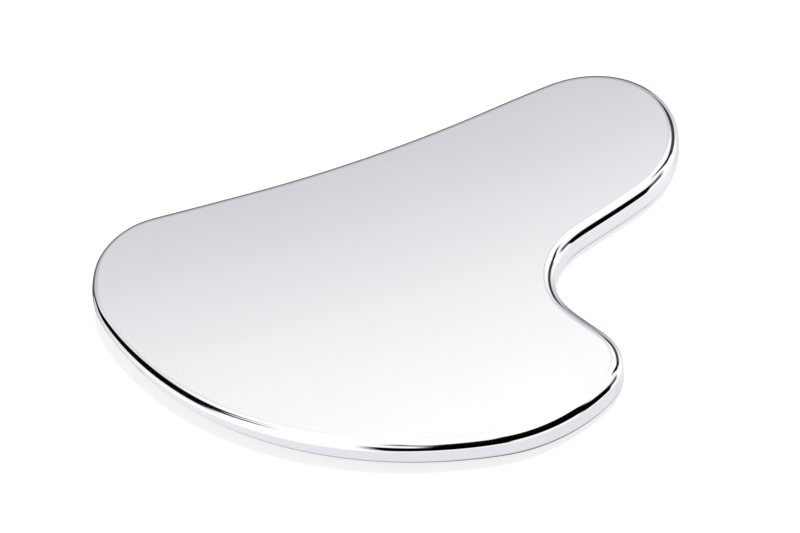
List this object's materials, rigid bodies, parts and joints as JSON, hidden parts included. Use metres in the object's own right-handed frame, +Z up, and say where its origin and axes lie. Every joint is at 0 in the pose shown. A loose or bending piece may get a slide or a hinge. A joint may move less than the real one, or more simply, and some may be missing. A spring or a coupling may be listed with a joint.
{
  "type": "gua sha scraper",
  "caption": "Flat polished steel massage scraper with a rounded-over rim: a blunt heel, a long shallow hollow back, a rounded long lobe, a notch, a short lobe and a curved belly.",
  "frame": {"origin": "under the middle of the outline's bounding box, on the plate's underside", "axes": "+X along the long hollow back towards the long lobe, +Y out of the back, +Z up through the plate's thickness"},
  "size_m": [0.084, 0.0558, 0.0042],
  "materials": {
    "polished_steel": "bright polished stainless steel"
  },
  "bodies": {
    "root": {"scraper_plate": "polished_steel"}
  },
  "joints": []
}
